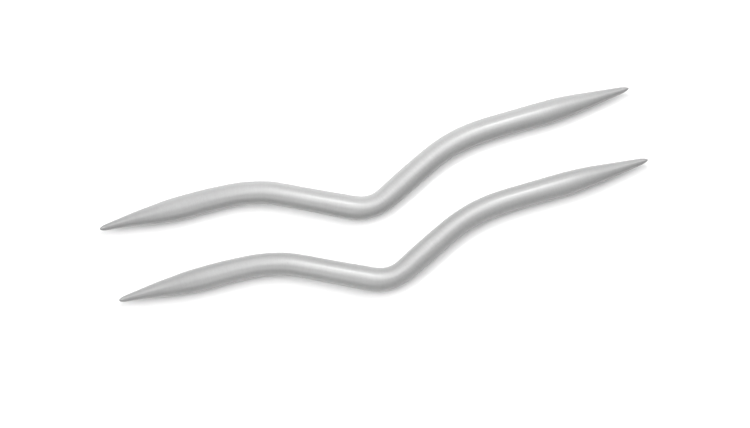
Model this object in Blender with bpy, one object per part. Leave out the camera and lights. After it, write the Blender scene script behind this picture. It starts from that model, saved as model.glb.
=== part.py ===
"""A pair of cranked cable-stitch needles, lying side by side on a table.

Each needle is one solid aluminium rod. It is turned to a point at both ends and then bent three
times in one plane: down, up and level again, so that stitches held on it sit in the dip.

The frame: +X runs from the left points to the right ones along the first arm of each needle, +Y is
away from the dips, and +Z is up. The origin is on the table, under the middle of the pair.

Run it with: blender --background --python part.py
"""

import math
from collections import namedtuple

import bmesh
import bpy
from mathutils import Vector

MM = 0.001

# The rod, straight, before it is bent.
ROD_DIAMETER = 5.0 * MM
ROD_LENGTH = 120.0 * MM

# The point at each end: a round nose on a cone that eases into the shaft over the shoulder. A
# sharp cone would still have the blunt radius at its very tip. The two points differ a little.
CONE_HALF_ANGLE = math.radians(7.35)
Point = namedtuple("Point", "blunt_radius nose_length shoulder_length")
LEFT_POINT = Point(0.485 * MM, 1.25 * MM, 5.2 * MM)
RIGHT_POINT = Point(0.51 * MM, 1.9 * MM, 9.0 * MM)

# The three bends: where along the rod the middle of each one is, how much of the rod it takes,
# and how far it turns the rod to the left.
BENDS = (
    (33.6 * MM, 17.4 * MM, math.radians(-25.0)),
    (58.6 * MM, 10.8 * MM, math.radians(52.0)),
    (81.3 * MM, 19.9 * MM, math.radians(-25.2)),
)

# How far the front needle lies from the rear one.
SPACING = Vector((0.2, -15.7, 0.0)) * MM

# The mesh. An even number of sides, with one of them straight down, gives a flat underside.
SIDES = 24
NOSE_RINGS = 4
POINT_RING_GAP = 1.9 * MM
SHAFT_RING_GAP = 1.3 * MM
WALK_STEP = 0.1 * MM
WELD_DISTANCE = 0.001 * MM
SHARP_ANGLE = math.radians(40.0)

SHAFT_RADIUS = ROD_DIAMETER / 2
CONE_SLOPE = math.tan(CONE_HALF_ANGLE)


def clear_scene():
    for obj in list(bpy.data.objects):
        bpy.data.objects.remove(obj, do_unlink=True)


def shoulder_end(point):
    """How far from its tip a point has the whole width of the shaft."""
    return (SHAFT_RADIUS - point.blunt_radius) / CONE_SLOPE + point.shoulder_length / 2


def point_radius(point, from_tip):
    """A point's radius at a distance from its tip, up to the end of its shoulder."""
    to_shaft = shoulder_end(point) - from_tip
    if to_shaft < point.shoulder_length:
        return SHAFT_RADIUS - CONE_SLOPE * to_shaft**2 / (2 * point.shoulder_length)
    cone = point.blunt_radius + CONE_SLOPE * from_tip
    to_cone = max(1 - from_tip / point.nose_length, 0.0)
    return cone * math.sqrt(1 - to_cone**2)


def rod_radius(x):
    """The straight rod's radius at a distance x along it."""
    for point, from_tip in ((LEFT_POINT, x), (RIGHT_POINT, ROD_LENGTH - x)):
        if from_tip < shoulder_end(point):
            return point_radius(point, max(from_tip, 0.0))
    return SHAFT_RADIUS


def evenly(start, end, gap):
    """Distances from start up to, but not including, end, at most gap apart."""
    count = max(1, math.ceil((end - start) / gap))
    return [start + (end - start) * i / count for i in range(count)]


def point_rings(point):
    """Distances from a point's tip at which it gets a ring of vertices."""
    turns = [math.pi / 2 * i / NOSE_RINGS for i in range(NOSE_RINGS)]
    nose = [point.nose_length * (1 - math.cos(turn)) for turn in turns]
    return nose + evenly(point.nose_length, shoulder_end(point), POINT_RING_GAP)


def ring_positions():
    """Distances along the rod at which it gets a ring of vertices, from one nose to the other."""
    shaft_start, shaft_end = shoulder_end(LEFT_POINT), ROD_LENGTH - shoulder_end(RIGHT_POINT)
    shaft = [*evenly(shaft_start, shaft_end, SHAFT_RING_GAP), shaft_end]
    right = [ROD_LENGTH - from_tip for from_tip in reversed(point_rings(RIGHT_POINT))]
    return point_rings(LEFT_POINT) + shaft + right


def heading(x):
    """The centreline's direction at a distance x along it, as an angle from +X towards +Y."""
    turned = 0.0
    for middle, length, angle in BENDS:
        share = min(max((x - middle) / length + 0.5, 0.0), 1.0)
        turned += angle * share * share * (3 - 2 * share)
    return turned


def walk_centreline():
    """Points WALK_STEP apart along the bent rod's centreline, from its left end."""
    points = [Vector((0.0, 0.0, 0.0))]
    for i in range(round(ROD_LENGTH / WALK_STEP)):
        angle = heading((i + 0.5) * WALK_STEP)
        points.append(points[-1] + WALK_STEP * Vector((math.cos(angle), math.sin(angle), 0.0)))
    return points


def turned_rod():
    """The straight rod along +X, spun from its outline, with a flat of the polygon underneath."""
    bm = bmesh.new()
    tilt = math.pi / SIDES
    outline = []
    for x in ring_positions():
        radius = rod_radius(x)
        outline.append(bm.verts.new((x, radius * math.sin(tilt), -radius * math.cos(tilt))))
    edges = [bm.edges.new(pair) for pair in zip(outline, outline[1:])]
    bmesh.ops.spin(
        bm, geom=outline + edges, axis=(1, 0, 0), cent=(0, 0, 0),
        angle=2 * math.pi, steps=SIDES, use_merge=True,
    )
    bmesh.ops.remove_doubles(bm, verts=bm.verts, dist=WELD_DISTANCE)
    bmesh.ops.recalc_face_normals(bm, faces=bm.faces)
    return bm


def crank(bm):
    """Carries the straight rod onto its bent centreline."""
    walk = walk_centreline()
    for vert in bm.verts:
        x, across, height = vert.co
        steps = min(max(x / WALK_STEP, 0.0), len(walk) - 1.001)
        whole = int(steps)
        middle = walk[whole].lerp(walk[whole + 1], steps - whole)
        angle = heading(x)
        left = Vector((-math.sin(angle), math.cos(angle), 0.0))
        vert.co = middle + left * across + Vector((0.0, 0.0, height))


def set_down(bm):
    """Moves the needle so that the middle of its footprint is at the origin, on the table."""
    lows = [min(vert.co[axis] for vert in bm.verts) for axis in range(3)]
    highs = [max(vert.co[axis] for vert in bm.verts) for axis in range(3)]
    middle = Vector(((lows[0] + highs[0]) / 2, (lows[1] + highs[1]) / 2, lows[2]))
    bmesh.ops.translate(bm, verts=bm.verts, vec=-middle)


def pearl_grey():
    """The satin, pearl-grey coat on the aluminium."""
    material = bpy.data.materials.new("pearl_grey_aluminium")
    material.use_nodes = True
    shader = material.node_tree.nodes["Principled BSDF"]
    shader.inputs["Base Color"].default_value = (0.56, 0.56, 0.56, 1.0)
    shader.inputs["Metallic"].default_value = 0.6
    shader.inputs["Roughness"].default_value = 0.42
    return material


def needle_mesh():
    bm = turned_rod()
    crank(bm)
    set_down(bm)
    mesh = bpy.data.meshes.new("cranked_needle")
    bm.to_mesh(mesh)
    bm.free()
    mesh.shade_smooth()
    mesh.set_sharp_from_angle(angle=SHARP_ANGLE)
    mesh.materials.append(pearl_grey())
    return mesh


def main():
    clear_scene()
    mesh = needle_mesh()
    for name, place in (("rear_needle", -SPACING / 2), ("front_needle", SPACING / 2)):
        needle = bpy.data.objects.new(name, mesh)
        needle.location = place
        bpy.context.collection.objects.link(needle)


main()
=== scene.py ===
"""The looks of a pair of cranked cable stitch needles, lying side by side on a white table.

Each needle is one fine mesh: a straight rod, turned to a point at both ends, is carried onto its bent
centreline. The coat is a satin pearl grey. Lengths are in metres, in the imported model's frame: +X runs
along the first arm of each needle, +Y is away from the dips and +Z is up, with the table at z = 0.
"""

import math
from collections import namedtuple

import bpy
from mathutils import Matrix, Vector


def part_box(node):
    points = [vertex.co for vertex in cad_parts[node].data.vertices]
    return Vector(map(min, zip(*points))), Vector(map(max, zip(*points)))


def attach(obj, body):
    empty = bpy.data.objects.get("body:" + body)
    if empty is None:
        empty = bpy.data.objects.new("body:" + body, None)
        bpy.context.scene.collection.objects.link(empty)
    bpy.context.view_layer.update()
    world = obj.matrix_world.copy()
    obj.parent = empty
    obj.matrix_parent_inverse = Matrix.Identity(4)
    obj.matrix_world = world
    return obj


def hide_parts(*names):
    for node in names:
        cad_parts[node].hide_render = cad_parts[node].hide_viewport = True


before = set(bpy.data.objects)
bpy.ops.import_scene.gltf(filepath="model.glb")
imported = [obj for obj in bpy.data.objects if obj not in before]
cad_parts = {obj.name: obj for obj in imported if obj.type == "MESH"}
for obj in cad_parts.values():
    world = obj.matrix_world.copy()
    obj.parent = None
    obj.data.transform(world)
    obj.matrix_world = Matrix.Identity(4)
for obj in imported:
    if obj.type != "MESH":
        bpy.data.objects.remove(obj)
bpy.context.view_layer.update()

MM = 0.001

# The rod, straight, before it is bent.
ROD_DIAMETER = 5.0 * MM
ROD_LENGTH = 120.0 * MM

# The point at each end: a round nose on a cone that eases into the shaft over the shoulder. A
# sharp cone would still have the blunt radius at its very tip. The two points differ a little.
CONE_HALF_ANGLE = math.radians(7.35)
Point = namedtuple("Point", "blunt_radius nose_length shoulder_length")
LEFT_POINT = Point(0.485 * MM, 1.25 * MM, 5.2 * MM)
RIGHT_POINT = Point(0.51 * MM, 1.9 * MM, 9.0 * MM)

# The three bends: where along the rod the middle of each one is, how much of the rod it takes,
# and how far it turns the rod to the left.
BENDS = (
    (33.6 * MM, 17.4 * MM, math.radians(-25.0)),
    (58.6 * MM, 10.8 * MM, math.radians(52.0)),
    (81.3 * MM, 19.9 * MM, math.radians(-25.2)),
)

# The rod is a little uneven, seen from above. Each such place has its middle and its reach each way
# along the rod, how much wider the rod is there as a share of its width, and how far it lies to the
# left of the smooth centreline.
UNEVEN_PLACES = (
    (0.0 * MM, 3.2 * MM, 0.0, -0.10 * MM),
    (5.2 * MM, 3.8 * MM, -0.022, 0.0 * MM),
    (7.8 * MM, 6.0 * MM, 0.0, 0.10 * MM),
    (19.6 * MM, 3.2 * MM, 0.020, 0.0 * MM),
    (23.3 * MM, 4.8 * MM, 0.0, 0.08 * MM),
    (33.0 * MM, 12.0 * MM, -0.034, 0.0 * MM),
    (36.6 * MM, 3.6 * MM, 0.0, 0.06 * MM),
    (44.0 * MM, 8.0 * MM, -0.022, 0.0 * MM),
    (53.8 * MM, 5.0 * MM, 0.026, 0.0 * MM),
    (60.6 * MM, 4.6 * MM, -0.050, 0.0 * MM),
    (69.0 * MM, 7.5 * MM, 0.018, 0.0 * MM),
    (85.0 * MM, 6.5 * MM, 0.015, -0.03 * MM),
    (94.0 * MM, 6.0 * MM, -0.013, 0.03 * MM),
    (101.6 * MM, 3.6 * MM, 0.014, -0.05 * MM),
)

# The mesh.
SIDES = 64
NOSE_RINGS = 12
RING_GAP = 0.3 * MM
WALK_STEP = 0.05 * MM

SHAFT_RADIUS = ROD_DIAMETER / 2
CONE_SLOPE = math.tan(CONE_HALF_ANGLE)

# The coat, and the thin lacquer over it.
COAT_GREY = (0.33, 0.33, 0.33)
COAT_METALLIC = 0.2
COAT_ROUGHNESS = 0.45
LACQUER_WEIGHT = 0.25
LACQUER_ROUGHNESS = 0.25

# The marks in the coat: how long each kind is along the rod, and how tall around it. The place of
# each kind in the noise differs, so that they don't line up.
MICRON = 0.001 * MM
Blotch = namedtuple("Blotch", "noise_place along around")
CLOUDS = Blotch(1.7, 9 * MM, 4 * MM)
MARKS = Blotch(5.3, 0.35 * MM, 2.5 * MM)
GRAIN = Blotch(9.1, 0.3 * MM, 0.4 * MM)
BLOTCH_DETAIL = 2.0

# Specks lie one to a cell. Their radius, and where their edge is fully hard, are shares of a cell.
SPECK_NOISE_PLACE = 3.9
SPECK_CELL = 3.0 * MM
SPECK_RADIUS = 0.06
SPECK_CORE = 0.024
SPECK_CHANCE = 0.2

# How far from each point the wear from handling and the painted shade that darkens the points reach.
WEAR_AND_SHADE_LENGTH = 14.0 * MM

# What each kind of mark adds to the share of grey, to the roughness, and to the height in microns.
Effect = namedtuple("Effect", "tone roughness height")
EFFECTS = {
    "clouds": Effect(0.13, 0.06, 15.0),
    "marks": Effect(0.12, 0.0, 3.5),
    "grain": Effect(0.12, 0.1, 3.5),
    "specks": Effect(-0.15, 0.1, -6.0),
    # At the points, the lower roughness is wear from handling, and the darker grey is painted shade.
    "wear_and_tip_shade": Effect(-0.08, -0.12, 0.0),
}

# The camera looks straight down, turned so that the first arms rise to the right.
ROLL = math.radians(-14.38)
SHOT_RIGHT = Vector((math.cos(ROLL), math.sin(ROLL), 0.0))
SHOT_UP = Vector((-math.sin(ROLL), math.cos(ROLL), 0.0))
AIM = Vector((-0.80, 0.99, 0.0)) * MM
LENS_MM = 100.0
SENSOR_MM = 36.0
SHOT_WIDTH = 159.2 * MM
NEAREST_SEEN = 10.0 * MM

# The table.
TABLE_GREY = 0.93
TABLE_ROUGHNESS = 0.8
TABLE_REACH = 3.0

# The lights. A window is so far away that only its direction counts, and looks this wide from the
# table. Directions and places go to the right and up in the shot, and up from the table. A window's
# power is in watts per square metre, and a box's in watts.
ROOM_LIGHT = 0.2
WINDOW_WIDTH = math.radians(40.0)
Window = namedtuple("Window", "name direction power")
WINDOWS = (
    Window("right_window", (0.542, 0.455, 0.707), 1.15),
    Window("left_window", (-0.700, 0.100, 0.707), 1.5),
    Window("rear_window", (0.0, 0.906, 0.423), 0.4),
)
SoftBox = namedtuple("SoftBox", "name place width power")
SOFT_BOXES = (
    SoftBox("rear_box", (-0.115, 0.199, 0.193), 160 * MM, 0.1),
    SoftBox("rear_lamp", (0.015, 0.102, 0.145), 20 * MM, 0.105),
    SoftBox("top_lamp", (0.0, 0.027, 0.150), 100 * MM, 0.108),
    SoftBox("front_lamp", (-0.030, -0.110, 0.120), 60 * MM, 0.028),
)


def shoulder_end(point):
    """How far from its tip a point has the whole width of the shaft."""
    return (SHAFT_RADIUS - point.blunt_radius) / CONE_SLOPE + point.shoulder_length / 2


def point_radius(point, from_tip):
    """A point's radius at a distance from its tip, up to the end of its shoulder."""
    to_shaft = shoulder_end(point) - from_tip
    if to_shaft < point.shoulder_length:
        return SHAFT_RADIUS - CONE_SLOPE * to_shaft**2 / (2 * point.shoulder_length)
    cone = point.blunt_radius + CONE_SLOPE * from_tip
    to_cone = max(1 - from_tip / point.nose_length, 0.0)
    return cone * math.sqrt(1 - to_cone**2)


def rod_radius(x):
    """The straight rod's radius at a distance x along it."""
    for point, from_tip in ((LEFT_POINT, x), (RIGHT_POINT, ROD_LENGTH - x)):
        if from_tip < shoulder_end(point):
            return point_radius(point, max(from_tip, 0.0))
    return SHAFT_RADIUS


def unevenness(x):
    """How much wider the rod is at x, as a share of its width, and how far it lies to the left."""
    wider, aside = 0.0, 0.0
    for middle, reach, share, shift in UNEVEN_PLACES:
        away = abs(x - middle) / reach
        if away < 1:
            here = (1 + math.cos(math.pi * away)) / 2
            wider += share * here
            aside += shift * here
    return wider, aside


def heading(x):
    """The centreline's direction at a distance x along it, as an angle from +X towards +Y."""
    turned = 0.0
    for middle, length, angle in BENDS:
        share = min(max((x - middle) / length + 0.5, 0.0), 1.0)
        turned += angle * share * share * (3 - 2 * share)
    return turned


def walk_centreline():
    """Points WALK_STEP apart along the bent rod's centreline, from its left end."""
    points = [Vector((0.0, 0.0, 0.0))]
    for i in range(round(ROD_LENGTH / WALK_STEP)):
        angle = heading((i + 0.5) * WALK_STEP)
        points.append(points[-1] + WALK_STEP * Vector((math.cos(angle), math.sin(angle), 0.0)))
    return points


def nose_rings(point):
    """Distances from a point's tip of the rings on its nose, close together at the very tip."""
    turns = [math.pi / 2 * (i + 1) / NOSE_RINGS for i in range(NOSE_RINGS)]
    return [point.nose_length * (1 - math.cos(turn)) for turn in turns]


def ring_positions():
    """Distances along the rod at which it gets a ring of vertices."""
    start, end = LEFT_POINT.nose_length, ROD_LENGTH - RIGHT_POINT.nose_length
    count = round((end - start) / RING_GAP)
    body = [start + (end - start) * i / count for i in range(1, count)]
    right = [ROD_LENGTH - from_tip for from_tip in reversed(nose_rings(RIGHT_POINT))]
    return nose_rings(LEFT_POINT) + body + right


def on_centreline(walk, x):
    """The point a distance x along the smooth centreline, between two points of the walk."""
    steps = x / WALK_STEP
    whole = min(int(steps), len(walk) - 2)
    return walk[whole].lerp(walk[whole + 1], steps - whole)


def needle_rings():
    """Each ring's vertices, on the bent rod and on the straight one, whose left end is at 0."""
    walk = walk_centreline()
    bent, straight = [], []
    for x in ring_positions():
        angle = heading(x)
        left = Vector((-math.sin(angle), math.cos(angle), 0.0))
        radius = rod_radius(x)
        wider, aside = unevenness(x)
        middle = on_centreline(walk, x) + left * aside
        half_width = radius * (1 + wider)
        for i in range(SIDES):
            turn = 2 * math.pi * i / SIDES
            across, height = math.cos(turn), math.sin(turn)
            up = Vector((0.0, 0.0, radius * height))
            bent.append(middle + left * half_width * across + up)
            straight.append(Vector((x, radius * across, radius * height)))
    left_shift = unevenness(0.0)[1]
    bent_ends = (walk[0] + Vector((0.0, left_shift, 0.0)), walk[-1])
    straight_ends = (Vector((0.0, 0.0, 0.0)), Vector((ROD_LENGTH, 0.0, 0.0)))
    return [*bent, *bent_ends], [*straight, *straight_ends]


def needle_faces(ring_count):
    """Quads from ring to ring and a fan of triangles round each tip, all facing outwards."""
    faces = []
    for ring in range(ring_count - 1):
        for i in range(SIDES):
            here, after = ring * SIDES + i, ring * SIDES + (i + 1) % SIDES
            faces.append((here, after, after + SIDES, here + SIDES))
    left_tip, right_tip = ring_count * SIDES, ring_count * SIDES + 1
    last = (ring_count - 1) * SIDES
    for i in range(SIDES):
        after = (i + 1) % SIDES
        faces.append((left_tip, after, i))
        faces.append((right_tip, last + i, last + after))
    return faces


def needle_piece(name, node, material):
    """A needle that stands for the CAD node and rides on the body of the same name."""
    bent, straight = needle_rings()
    low = Vector([min(point[axis] for point in bent) for axis in range(3)])
    high = Vector([max(point[axis] for point in bent) for axis in range(3)])
    cad_low, cad_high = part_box(node)
    middle = (cad_low + cad_high - low - high) / 2
    move = Vector((middle.x, middle.y, cad_low.z - low.z))
    mesh = bpy.data.meshes.new(name)
    mesh.from_pydata([point + move for point in bent], [], needle_faces(len(bent) // SIDES))
    rest = mesh.attributes.new("straight", "FLOAT_VECTOR", "POINT")
    rest.data.foreach_set("vector", [number for point in straight for number in point])
    mesh.shade_smooth()
    mesh.materials.append(material)
    piece = bpy.data.objects.new(name, mesh)
    bpy.context.scene.collection.objects.link(piece)
    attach(piece, node)
    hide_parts(node)


def add_node(tree, kind, inputs, **settings):
    """A new node. Each input is a plain value or another node's output."""
    node = tree.nodes.new(kind)
    for name, value in settings.items():
        setattr(node, name, value)
    for key, value in inputs.items():
        if isinstance(value, bpy.types.NodeSocket):
            tree.links.new(value, node.inputs[key])
        else:
            node.inputs[key].default_value = value
    return node


def calculate(tree, operation, *values):
    """The result of a math node on plain values or other nodes' outputs."""
    return add_node(tree, "ShaderNodeMath", dict(enumerate(values)), operation=operation).outputs[0]


def cells(tree, rod, noise_place, along, around):
    """Places on the unbent rod, counted in cells that long along it and that tall around it."""
    settings = {
        "Vector": rod,
        "Location": (noise_place, noise_place, noise_place),
        "Scale": (1 / along, 1 / around, 1 / around),
    }
    return add_node(tree, "ShaderNodeMapping", settings).outputs["Vector"]


def blotches(tree, rod, number, blotch):
    """Noise from about -0.5 to 0.5, in blotches of that kind."""
    place = cells(tree, rod, number + blotch.noise_place, blotch.along, blotch.around)
    settings = {"Vector": place, "Scale": 1.0, "Detail": BLOTCH_DETAIL}
    noise = add_node(tree, "ShaderNodeTexNoise", settings).outputs["Fac"]
    return calculate(tree, "SUBTRACT", noise, 0.5)


def specks(tree, rod, number):
    """1 on a few small round specks of dust or dents in the coat, and 0 elsewhere."""
    place = cells(tree, rod, number + SPECK_NOISE_PLACE, SPECK_CELL, SPECK_CELL)
    voronoi = add_node(tree, "ShaderNodeTexVoronoi", {"Vector": place, "Scale": 1.0})
    settings = {"Value": voronoi.outputs["Distance"], "From Min": SPECK_RADIUS, "From Max": SPECK_CORE}
    near = add_node(tree, "ShaderNodeMapRange", settings).outputs["Result"]
    colour = add_node(tree, "ShaderNodeSeparateColor", {"Color": voronoi.outputs["Color"]})
    rare = calculate(tree, "LESS_THAN", colour.outputs["Red"], SPECK_CHANCE)
    return calculate(tree, "MULTIPLY", near, rare)


def near_points(tree, rod):
    """1 at the two points, falling to 0 where the handling wear and the painted shade of the points end.
    """
    along = add_node(tree, "ShaderNodeSeparateXYZ", {"Vector": rod}).outputs["X"]
    middle = ROD_LENGTH / 2
    away = calculate(tree, "ABSOLUTE", calculate(tree, "SUBTRACT", along, middle))
    settings = {"Value": away, "From Min": middle - WEAR_AND_SHADE_LENGTH, "From Max": middle}
    return add_node(tree, "ShaderNodeMapRange", settings).outputs["Result"]


def with_effects(tree, start, patterns, quality):
    """start, plus what each pattern adds to that quality of the coat."""
    total = start
    for kind, pattern in patterns.items():
        weight = getattr(EFFECTS[kind], quality)
        if weight:
            total = calculate(tree, "MULTIPLY_ADD", pattern, weight, total)
    return total


def pearl_grey_coat(name, number):
    """Satin, pearl-grey coat: grain, faint marks round the rod, and clouds, placed by the number."""
    material = bpy.data.materials.new(name)
    material.use_nodes = True
    tree = material.node_tree
    rod = add_node(tree, "ShaderNodeAttribute", {}, attribute_name="straight").outputs["Vector"]
    patterns = {
        "clouds": blotches(tree, rod, number, CLOUDS),
        "marks": blotches(tree, rod, number, MARKS),
        "grain": blotches(tree, rod, number, GRAIN),
        "specks": specks(tree, rod, number),
        # Near the points: wear from handling smooths the coat, and painted shade darkens its grey.
        "wear_and_tip_shade": near_points(tree, rod),
    }
    tone = with_effects(tree, 1.0, patterns, "tone")
    colour = add_node(tree, "ShaderNodeVectorMath", {0: COAT_GREY, "Scale": tone}, operation="SCALE")
    roughness = with_effects(tree, COAT_ROUGHNESS, patterns, "roughness")
    height = with_effects(tree, 0.0, patterns, "height")
    bump = add_node(tree, "ShaderNodeBump", {"Height": height, "Distance": MICRON})
    shader = tree.nodes["Principled BSDF"]
    tree.links.new(colour.outputs["Vector"], shader.inputs["Base Color"])
    tree.links.new(roughness, shader.inputs["Roughness"])
    tree.links.new(bump.outputs["Normal"], shader.inputs["Normal"])
    shader.inputs["Metallic"].default_value = COAT_METALLIC
    shader.inputs["Coat Weight"].default_value = LACQUER_WEIGHT
    shader.inputs["Coat Roughness"].default_value = LACQUER_ROUGHNESS
    return material


def white_table():
    material = bpy.data.materials.new("white_table")
    material.use_nodes = True
    shader = material.node_tree.nodes["Principled BSDF"]
    shader.inputs["Base Color"].default_value = (TABLE_GREY, TABLE_GREY, TABLE_GREY, 1.0)
    shader.inputs["Roughness"].default_value = TABLE_ROUGHNESS
    corners = [(x * TABLE_REACH, y * TABLE_REACH, 0.0) for x, y in ((-1, -1), (1, -1), (1, 1), (-1, 1))]
    mesh = bpy.data.meshes.new("table")
    mesh.from_pydata(corners, [], [(0, 1, 2, 3)])
    mesh.materials.append(material)
    table = bpy.data.objects.new("table", mesh)
    bpy.context.scene.collection.objects.link(table)


def on_shot(right, up, height):
    """A place given by how far it is to the right and up in the shot, and its height."""
    return SHOT_RIGHT * right + SHOT_UP * up + Vector((0.0, 0.0, height))


def add_light(name, kind, place, power):
    """A light at place, turned to the middle of the pair."""
    light = bpy.data.lights.new(name, kind)
    light.energy = power
    holder = bpy.data.objects.new(name, light)
    holder.location = place
    holder.rotation_euler = (-place).to_track_quat("-Z", "Y").to_euler()
    holder.visible_camera = False
    bpy.context.scene.collection.objects.link(holder)
    return light


def light_scene():
    """A soft studio: wide windows, and boxes and lamps behind, above and in front of the pair."""
    world = bpy.data.worlds.new("studio")
    world.use_nodes = True
    background = world.node_tree.nodes["Background"]
    background.inputs["Color"].default_value = (1.0, 1.0, 1.0, 1.0)
    background.inputs["Strength"].default_value = ROOM_LIGHT
    bpy.context.scene.world = world
    for window in WINDOWS:
        light = add_light(window.name, "SUN", on_shot(*window.direction), window.power)
        light.angle = WINDOW_WIDTH
    for box in SOFT_BOXES:
        light = add_light(box.name, "AREA", on_shot(*box.place), box.power)
        light.shape = "SQUARE"
        light.size = box.width


def place_camera():
    camera = bpy.data.cameras.new("camera")
    camera.lens = LENS_MM
    camera.sensor_width = SENSOR_MM
    camera.clip_start = NEAREST_SEEN
    shot = bpy.data.objects.new("camera", camera)
    distance = SHOT_WIDTH * LENS_MM / SENSOR_MM
    shot.location = AIM + Vector((0.0, 0.0, SHAFT_RADIUS + distance))
    shot.rotation_euler = (0.0, 0.0, ROLL)
    bpy.context.scene.collection.objects.link(shot)
    bpy.context.scene.camera = shot


for number, node in enumerate(("rear_needle", "front_needle")):
    needle_piece(node + "_rod", node, pearl_grey_coat(node + "_coat", number))
white_table()
light_scene()
place_camera()
bpy.context.scene.view_settings.view_transform = "Standard"
